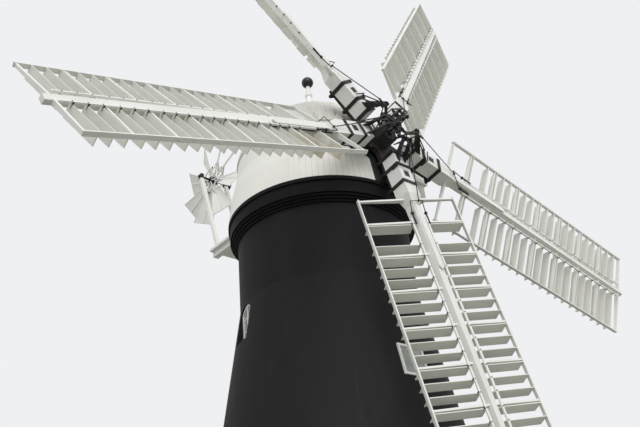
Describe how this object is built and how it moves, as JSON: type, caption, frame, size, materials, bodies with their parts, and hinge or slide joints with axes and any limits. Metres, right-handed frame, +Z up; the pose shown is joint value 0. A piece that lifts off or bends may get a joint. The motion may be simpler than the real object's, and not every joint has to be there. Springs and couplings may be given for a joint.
{
  "type": "traditional tower windmill with five sails and a fantail",
  "caption": "Tapering tarred brick tower mill with a turning boarded ogee cap, shuttered sails on a tilted windshaft and a fantail on a rear stage.",
  "frame": {"origin": "centre of the tower's base on the ground", "axes": "+Z up along the tower, the sails face -Y and the fantail stands out to +Y"},
  "size_m": [18.0177, 11.3021, 20.8881],
  "materials": {
    "tarred_brick": "black tarred brick, matte",
    "floor_brick": "worn brick paving",
    "floor_boards": "bare pine boards",
    "oak": "rough oak",
    "cap_paint": "white painted boards",
    "white_paint": "white painted timber",
    "shutter_paint": "white painted shutters",
    "window_paint": "white gloss joinery",
    "door_paint": "white painted boarded door",
    "window_glass": "old window glass",
    "black_paint": "black painted boards",
    "black_gloss": "black gloss paint",
    "black_iron": "black painted iron",
    "shaft_iron": "weathered iron"
  },
  "bodies": {
    "tower": {"lower_wall_front": "tarred_brick", "upper_wall_front": "tarred_brick", "lower_wall_right": "tarred_brick", "upper_wall_right": "tarred_brick", "lower_wall_back": "tarred_brick", "upper_wall_back": "tarred_brick", "lower_wall_left": "tarred_brick", "upper_wall_left": "tarred_brick", "ground_floor": "floor_brick", "upper_floors": "floor_boards", "cornice": "tarred_brick", "window_frames": "window_paint", "window_panes": "window_glass", "door_frames": "window_paint", "doors": "door_paint", "curb": "black_iron"},
    "cap": {"cap_ring": "oak", "breast": "black_paint", "skirt": "cap_paint", "dome": "cap_paint", "finial": "cap_paint", "finial_ball": "black_gloss", "sheers": "white_paint", "shaft_beams": "oak", "shaft_bearings": "black_iron", "tail_beams": "white_paint", "fan_stage": "white_paint", "fan_posts": "white_paint", "fan_bearings": "black_iron"},
    "sails": {"windshaft": "shaft_iron", "iron_cross": "black_iron", "stock_straps": "black_iron", "shutter_bars": "white_paint", "spider": "black_iron", "crank_brackets": "black_iron", "bell_cranks": "black_iron", "striking_rods": "black_iron", "stock_1": "white_paint", "sail_frame_1": "white_paint", "shutters_1": "shutter_paint", "stock_2": "white_paint", "sail_frame_2": "white_paint", "shutters_2": "shutter_paint", "stock_3": "white_paint", "sail_frame_3": "white_paint", "shutters_3": "shutter_paint", "stock_4": "white_paint", "sail_frame_4": "white_paint", "shutters_4": "shutter_paint", "stock_5": "white_paint", "sail_frame_5": "white_paint", "shutters_5": "shutter_paint"},
    "fan": {"fan_shaft": "black_iron", "fan_hub": "black_iron", "fan_blades": "white_paint"}
  },
  "joints": [
    {"name": "cap_turn", "type": "hinge", "parent": "tower", "child": "cap", "pos_m": [0, 0, 11.55], "axis": [0, 0, 1], "continuous": true},
    {"name": "sails_turn", "type": "hinge", "parent": "cap", "child": "sails", "pos_m": [0, -2.93, 12.84], "axis": [0, -0.9831, 0.1829], "continuous": true},
    {"name": "fan_turn", "type": "hinge", "parent": "cap", "child": "fan", "pos_m": [0, 5.07, 15.78], "axis": [1, 0, 0], "continuous": true}
  ]
}
